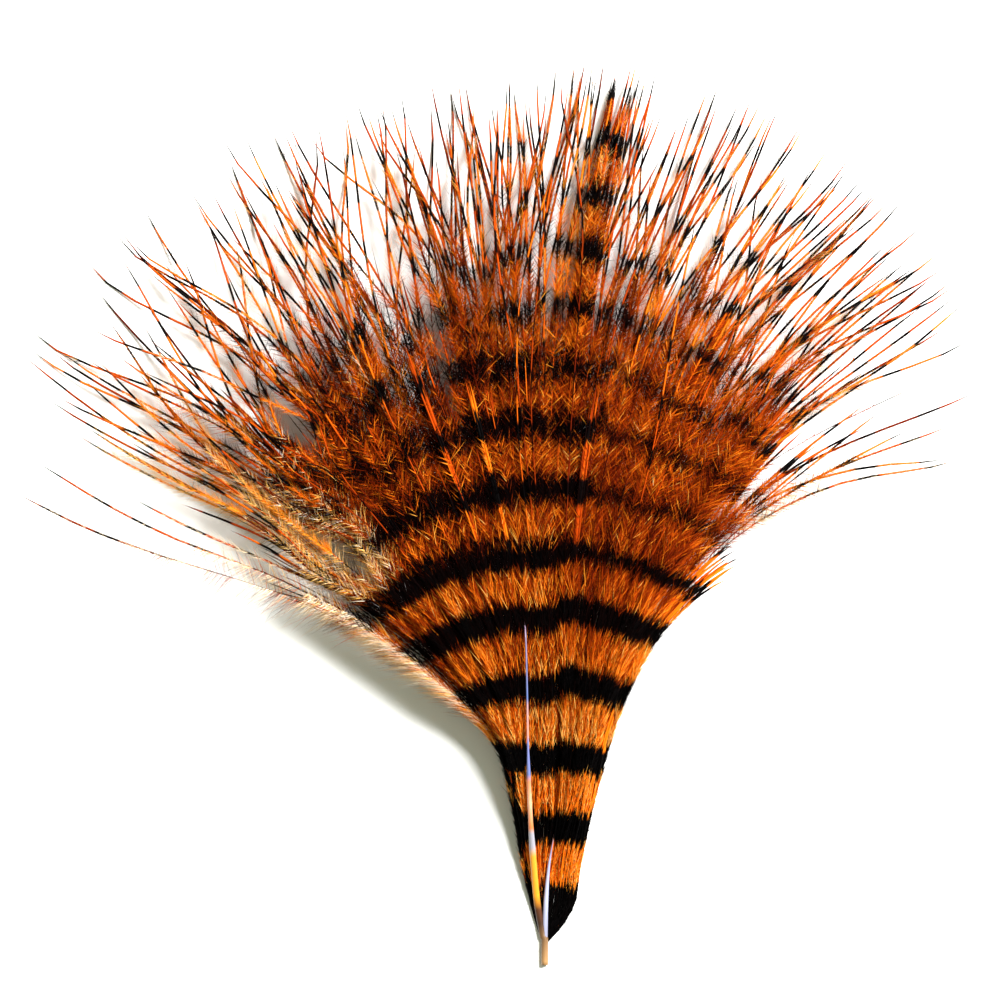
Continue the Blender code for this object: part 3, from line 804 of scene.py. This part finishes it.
# Inside the down the filaments' tone is lowered as painted shade.
barb_tone = np.minimum(shade - PAINTED_SHADE_IN_DOWN + TONE_WHEN_BARE * bare + filament_scatter, BRIGHTEST_TIP)
thinner_bars = 1.0 - THINNER_BARS * ease(reach, *THINNER_FROM)
barb_phase = np.floor(phase) + 0.5 + (phase - np.floor(phase) - 0.5) * thinner_bars
barb_uv = pattern_uv(barb_phase, barb_tone)[:, ring_of]
speckle = np.random.default_rng(SPECKLE_SEED).uniform(-SPECKLE, SPECKLE, barb_uv.shape)
barb_uv = barb_uv + speckle * (0.0, 1.0)
barb_material = dyed_material("dyed_barbs_and_painted_shade", BARB_ROUGHNESS)
new_piece("barbs", barb_points, barb_faces, barb_material, barb_uv.reshape(-1, 2))


# The barbules: loose, fluffy side hairs that spring from both sides of every barb at a narrow angle and
# hide it over its lower two thirds. They are the down of the plume, as dyed and barred as the barbs.
DOWN_PIECES = 4
DOWN_COUNT = 176000
BARBULE_LIFT = 0.00012
LOWEST_TIP = 0.00010
SLIVER_HEIGHT = 0.6
UV_NUDGE = 0.004
BARE_ROOT = 0.0006
LEAST_DOWN = 0.001
PLAIN_SHARE = 0.6
FLUFFY_SHARE = 0.30
ANGLE_SCATTER = 8.0
EDGE_BARBS_AT = (0.050, -0.025)
downy_start = reach[:, 0] + BARE_ROOT
downy_length = np.clip(downy_limit - downy_start, LEAST_DOWN, None)
plain_barb = down_rng.random(len(across)) < PLAIN_SHARE
fluffy_barb = down_rng.random(len(across)) < FLUFFY_SHARE
barb_spread = down_rng.normal(0.0, ANGLE_SCATTER, len(across))
edge_barb = ease(across, *EDGE_BARBS_AT)


def on_barb(barb, far):
    """Place, heading, bar phase and tone of a barb at a distance from the quill, read straight between
    its rings."""
    v = np.clip((far - reach[barb, 0]) / (reach[barb, -1] - reach[barb, 0]), 0.0, 0.999)
    ring = v ** (1 / RING_CROWDING) * (RINGS - 1)
    low = np.clip(ring.astype(int), 0, RINGS - 2)
    part = ring - low
    ahead = line[barb, low + 1] - line[barb, low]
    root = line[barb, low] + ahead * part[:, None] + np.array([0.0, 0.0, BARBULE_LIFT])
    bars = phase[barb, low] + (phase[barb, low + 1] - phase[barb, low]) * part
    tone = shade[barb, low] + (shade[barb, low + 1] - shade[barb, low]) * part
    return root, np.arctan2(ahead[:, 1], ahead[:, 0]), bars, tone


def slivers(root, way, tilt, length, width, uv_root, uv_tip):
    """Hairs as closed tetrahedra: a small triangle across the run at the root, as wide as given for all
    or for each, and a point at the given length along the way, tilted up by the given slope and never
    below the card."""
    count = len(root)
    tip = root + np.stack([np.cos(way), np.sin(way), tilt], axis=-1) * length[:, None]
    tip[:, 2] = np.clip(tip[:, 2], LOWEST_TIP, None)
    width = np.broadcast_to(width, count)[:, None]
    sideways = np.stack([-np.sin(way), np.cos(way), np.zeros(count)], axis=-1) * width / 2
    up = np.array([0.0, 0.0, SLIVER_HEIGHT]) * width
    points = np.stack([root - sideways, root + sideways, root + up, tip], axis=1).reshape(-1, 3)
    nudge = np.array([0.0, UV_NUDGE])
    uv = np.stack([uv_root - nudge, uv_root + nudge, uv_root, uv_tip], axis=1).reshape(-1, 2)
    first = np.arange(count)[:, None] * 4
    faces = (first[:, None] + np.array([(0, 2, 1), (0, 1, 3), (1, 2, 3), (2, 0, 3)])).reshape(-1, 3)
    return points, faces, uv


# How many barbules a barb has and where they sit. A pair named AT is the start and length of a
# smoothstep over the fan's width, and one named FROM or UNTIL over the distance along the barb or the
# share of its down.
FLUFFY_WEIGHT = 2.0
OTHER_WEIGHT = 0.6
LEFT_THINNER = 0.35
LEFT_THINNER_AT = (0.14, -0.06)
EDGE_WEIGHT = 2.2
OUTWARD_CROWDING = 0.56
hair_weight = downy_length * downy * np.where(fluffy_barb, FLUFFY_WEIGHT, OTHER_WEIGHT)
hair_weight = hair_weight * (1.0 - LEFT_THINNER * ease(across, *LEFT_THINNER_AT))
hair_weight = hair_weight + EDGE_WEIGHT * downy_length * edge_barb

# Undyed hair: the outer parts of the barbs at the left, and the outward side of the lowest barbs there.
UNDYED_AT = (0.22, -0.09)
UNDYED_FROM = (0.039, 0.011)
EDGE_FROM = (0.022, 0.008)
UNDYED_SHARE = 0.88
SHARE_ON_BARS = 0.25
UNDYED_TONE = 0.90
UNDYED_SCATTER = 0.05
EDGE_BRIGHTER = 0.06
BAR_HALF = 0.24

# Tones of the barbules. A fifth of them are pale, fewer at the right: paler strands that are partly
# painted highlights, golden strokes where hairs catch the lamp.
PALE_HIGHLIGHT_SHARE = 0.20
PALE_HIGHLIGHT_LESS = 0.14
PALE_HIGHLIGHT_LESS_AT = (0.56, 0.08)
PALE_HIGHLIGHT_TONE = ((0.022, 0.30), (0.034, 0.31), (0.050, 0.26), (0.060, 0.20))
DOWN_TONE = -0.03
DOWN_SCATTER = 0.12
OUTWARD_TONE = 0.06
OUTWARD_FROM = (0.062, 0.012)
GRAIN = 0.20
GRAIN_SQUEEZE = (14.0, 4.0)
GRAIN_UNTIL = (0.026, 0.014)
BRIGHTEST_DOWN = 0.86
RIGHT_PATCHES = 0.12
RIGHT_PATCH_SCALE = 1.7


def barbule_tones(barb, far, root, bars, tone, pale_highlight, outer, right, rng):
    """Tone of each barbule: its barb's, brighter on the pale ones, which are partly painted highlights,
    and far out, with scatter, and with patches drawn out lengthwise near the base and wider ones at the
    right. Of the undyed parts, 88% of the hairs between the bars are cream and 25% of those on the bars
    of the barbs that keep them."""
    tone = tone + DOWN_TONE + pale_highlight * between(far, PALE_HIGHLIGHT_TONE)
    tone = tone + rng.normal(0.0, DOWN_SCATTER, len(barb))
    tone = tone + OUTWARD_TONE * ease(far, *OUTWARD_FROM)
    grain = patches(root[:, :2] * GRAIN_SQUEEZE) * (1.0 - ease(far, *GRAIN_UNTIL))
    tone = np.minimum(tone + GRAIN * grain, BRIGHTEST_DOWN)
    on_bar = (np.abs(bars - np.round(bars)) < BAR_HALF) & ~plain_barb[barb]
    undyed_share = np.where(on_bar, SHARE_ON_BARS, UNDYED_SHARE)
    undyed = rng.random(len(barb)) < outer * undyed_share
    cream = rng.normal(UNDYED_TONE, UNDYED_SCATTER, len(barb)) + EDGE_BRIGHTER * edge_barb[barb]
    tone = np.where(undyed, cream, tone)
    return tone + RIGHT_PATCHES * right * patches(RIGHT_PATCH_SCALE * root[:, 1::-1])


# Slip of the bars from hair to hair, and where the bars are wider or fade.
CLOSED_SLIP = 0.02
OPEN_SLIP = 0.05
TIP_RUN = 0.8
RIGHT_AT = (0.58, 0.10)
RIGHT_FROM = (0.036, 0.009)
LEFT_AT = (0.36, -0.16)
LEFT_FROM = (0.048, 0.014)
WIDER_FROM = (0.032, 0.010)
WIDER_BARS = 0.24
RIGHT_FADE = 0.34
LEFT_FADE = 0.41
OUTER_FADE = 0.9


def barbule_bars(barb, far, bars, run, open_up, outer, right, rng):
    """Bar phases at the root and the tip of each barbule: its barb's, with some slip, and at the tip the
    bars that it runs over. Both are stretched away from the middle of the pale gap where the bars are
    wider, in the middle of the fan, and drawn in to it where they fade: at the right, on the plain barbs
    at the left, and on the undyed parts of plain and lowest barbs."""
    slip = CLOSED_SLIP + OPEN_SLIP * open_up
    bars = bars + rng.normal(0.0, 1.0, len(barb)) * slip
    tip_phase = bars + run / BAR_PITCH * TIP_RUN
    left = ease(across[barb], *LEFT_AT) * ease(far, *LEFT_FROM) * plain_barb[barb]
    middle = ease(far, *WIDER_FROM) * (1.0 - np.maximum(right, left))
    faded = np.maximum(np.where(plain_barb, OUTER_FADE, 0.0), OUTER_FADE * edge_barb)[barb] * outer
    faded = np.maximum(np.maximum(RIGHT_FADE * right, LEFT_FADE * left), faded)
    stretch = 1.0 + WIDER_BARS * middle - faded
    gap = np.floor(bars)
    return [gap + 0.5 + (value - gap - 0.5) * stretch for value in (bars, tip_phase)]


# Angles of the barbules to their barbs in degrees, and their lengths, widths and slopes.
OPENS_FROM = (0.034, 0.022)
CLOSED_ANGLE = 7.0
CLOSED_SCATTER = 8.0
OPEN_ANGLE = 27.0
OPEN_SCATTER = 5.0
OUTER_ANGLE = 14.0
EDGE_ANGLE = 16.0
BASE_LENGTH = 0.0012
LENGTH_GAIN = 0.0014
GAIN_FROM = (0.010, 0.020)
OPEN_GAIN = 0.0004
LENGTH_RANGE = (0.5, 1.25)
THINS_OUT = 0.45
THINS_OUT_FROM = (0.75, 0.25)
COLUMN_LENGTH = 0.6
COLUMN_TIP_LESS = 0.4
COLUMN_TIP_FROM = (0.80, 0.20)
EDGE_LONGER = 0.5
EDGE_LONGER_FROM = (0.022, 0.012)
BARBULE_WIDTH = 0.000056
PALE_HIGHLIGHT_WIDTH = 1.5
PLAIN_WIDTH = 0.95
OUTER_NARROWER = 0.4
SLOPE = -0.04
SLOPE_SCATTER = 0.14
SLOPE_RANGE = (-0.35, 0.18)
TIP_DARKER = 0.05


def grow_barbules(count, rng):
    """Slivers in even rows down both sides of the barbs, the most on fluffy barbs, ever closer outwards.
    They lie 7 degrees off the barb at the base and open to about 34 further up, more where undyed. Their
    length grows outwards from 1.2 to 3 mm, less over the last quarter of the down and in the tall
    column, and more on the lowest barbs at the left, which carry three of four on the outward side."""
    barb = np.sort(rng.choice(len(line), size=count, p=hair_weight / hair_weight.sum()))
    rank = np.arange(count) - np.searchsorted(barb, barb)
    share = ((rank + rng.random(count)) / np.bincount(barb)[barb]) ** OUTWARD_CROWDING
    far = downy_start[barb] + downy_length[barb] * share
    root, heading, bars, tone = on_barb(barb, far)
    edge = edge_barb[barb]
    side = np.where((rank % 2 == 0) & ((rank % 4 == 0) | (edge < 0.5)), -1.0, 1.0)
    outer = ease(across[barb], *UNDYED_AT) * ease(far, *UNDYED_FROM)
    outer = np.maximum(outer, edge * ease(far, *EDGE_FROM) * (side > 0.0))
    right = ease(across[barb], *RIGHT_AT) * ease(far, *RIGHT_FROM)
    open_up = ease(far, *OPENS_FROM)
    spread = rng.normal(CLOSED_ANGLE, CLOSED_SCATTER, count)
    spread = spread + (OPEN_ANGLE + barb_spread[barb] + rng.normal(0.0, OPEN_SCATTER, count)) * open_up
    spread = np.radians(spread + OUTER_ANGLE * outer + EDGE_ANGLE * edge * outer)
    length = BASE_LENGTH + LENGTH_GAIN * ease(far, *GAIN_FROM) + OPEN_GAIN * open_up
    length = length * rng.uniform(*LENGTH_RANGE, count) * (1.0 - THINS_OUT * ease(share, *THINS_OUT_FROM))
    in_column = COLUMN_LENGTH - COLUMN_TIP_LESS * ease(share, *COLUMN_TIP_FROM)
    length = np.where(tall_column[barb], length * in_column, length)
    length = length * (1.0 + EDGE_LONGER * edge * ease(far, *EDGE_LONGER_FROM))
    # Pale barbules, partly painted highlights: brighter and wider than the rest.
    pale_highlight = rng.random(count) < PALE_HIGHLIGHT_SHARE - PALE_HIGHLIGHT_LESS * ease(across[barb], *PALE_HIGHLIGHT_LESS_AT)
    tone = barbule_tones(barb, far, root, bars, tone, pale_highlight, outer, right, rng)
    run = length * np.cos(spread)
    bars, tip_phase = barbule_bars(barb, far, bars, run, open_up, outer, right, rng)
    width = BARBULE_WIDTH * np.where(pale_highlight, PALE_HIGHLIGHT_WIDTH, PLAIN_WIDTH) * (1.0 - OUTER_NARROWER * outer)
    tilt = np.clip(rng.normal(SLOPE, SLOPE_SCATTER, count), *SLOPE_RANGE)
    return slivers(root, heading + side * spread, tilt, length, width,
                   pattern_uv(bars, tone), pattern_uv(tip_phase, tone - TIP_DARKER))


DOWN_ROUGHNESS = 0.7
down_material = dyed_material("dyed_down_and_painted_highlights", DOWN_ROUGHNESS)
for number in range(DOWN_PIECES):
    points, faces, uv = grow_barbules(DOWN_COUNT // DOWN_PIECES, down_rng)
    new_piece(f"down_{number + 1}", points, [faces], down_material, uv)


# The fringe: past the dense down each barb keeps sparse, hair-thin barbules for up to 15 mm more, tan
# and wide open, and almost undyed on the outermost barbs of both sides. They make a haze between the
# bare tips.
FRINGE_SEED = 8
FRINGE_COUNT = 37000
FRINGE_WIDTH = 0.000030
FRINGE_LENGTH = 0.0021
HAIR_RANGE = (0.5, 1.2)
HAIR_ANGLES = (12.0, 36.0)
HAIR_SLOPE = -0.05
HAIR_SLOPE_SCATTER = 0.15
STARTS_BEFORE = 0.007
FULL_ROOM = 0.022
TIP_ROOM = 0.005
THINNING_POWER = 1.9
LEAST_BARE = 0.013
LEFT_MORE = 1.5
LEFT_MORE_AT = (0.20, -0.08)
EDGE_LESS = 0.8
EDGE_LESS_AT = (0.08, -0.04)
TAN = 0.16
TAN_GAIN = 0.28
TAN_GAIN_FROM = (-0.003, 0.012)
TAN_SCATTER = 0.06
CREAM = 0.95
BRIGHTEST_FRINGE = 0.97
CREAM_FROM = (0.044, 0.010)
CREAM_LEFT_AT = (0.16, -0.08)
CREAM_RIGHT_AT = (0.93, 0.03)
HAIR_BARS = 0.8
HAIR_TIP_PHASE = 0.1


def grow_fringe(count, rng):
    """Slivers like the barbules on the long barbs, from 7 mm before the end of the dense down to 15 mm
    past it, or to 2 mm short of the tip, ever sparser outwards by a power of the way, and 12 to 36
    degrees open. The left side has more of them, but its outermost barbs few. Their tone rises with the
    distance, and on the outermost barbs of both sides it nears cream and the bars fade."""
    long_barb = (end > downy_limit + LEAST_BARE) & (downy > 0.5) & ~tall_column
    weight = np.where(long_barb, 1.0 + LEFT_MORE * ease(across, *LEFT_MORE_AT), 0.0)
    weight = weight * (1.0 - EDGE_LESS * ease(across, *EDGE_LESS_AT))
    barb = rng.choice(len(line), size=count, p=weight / weight.sum())
    room = np.minimum(FULL_ROOM, end[barb] - downy_limit[barb] + TIP_ROOM)
    past = -STARTS_BEFORE + room * rng.random(count) ** THINNING_POWER
    far = downy_limit[barb] + past
    root, heading, bars, tone = on_barb(barb, far)
    side = np.where(rng.random(count) < 0.5, -1.0, 1.0)
    way = heading + side * np.radians(rng.uniform(*HAIR_ANGLES, count))
    length = FRINGE_LENGTH * rng.uniform(*HAIR_RANGE, count)
    outer = np.maximum(ease(across[barb], *CREAM_LEFT_AT), ease(across[barb], *CREAM_RIGHT_AT))
    tone = tone + TAN + TAN_GAIN * ease(past, *TAN_GAIN_FROM)
    tone = tone + rng.normal(0.0, TAN_SCATTER, count)
    to_cream = (CREAM - tone) * outer * ease(far, *CREAM_FROM)
    tone = np.clip(tone + to_cream, 0.0, BRIGHTEST_FRINGE)
    gap = np.floor(bars)
    bars = gap + 0.5 + (bars - gap - 0.5) * (1.0 - outer) * HAIR_BARS
    tilt = rng.normal(HAIR_SLOPE, HAIR_SLOPE_SCATTER, count)
    return slivers(root, way, tilt, length, FRINGE_WIDTH,
                   pattern_uv(bars, tone), pattern_uv(bars + HAIR_TIP_PHASE, tone))


points, faces, uv = grow_fringe(FRINGE_COUNT, np.random.default_rng(FRINGE_SEED))
new_piece("fringe", points, [faces], down_material, uv)
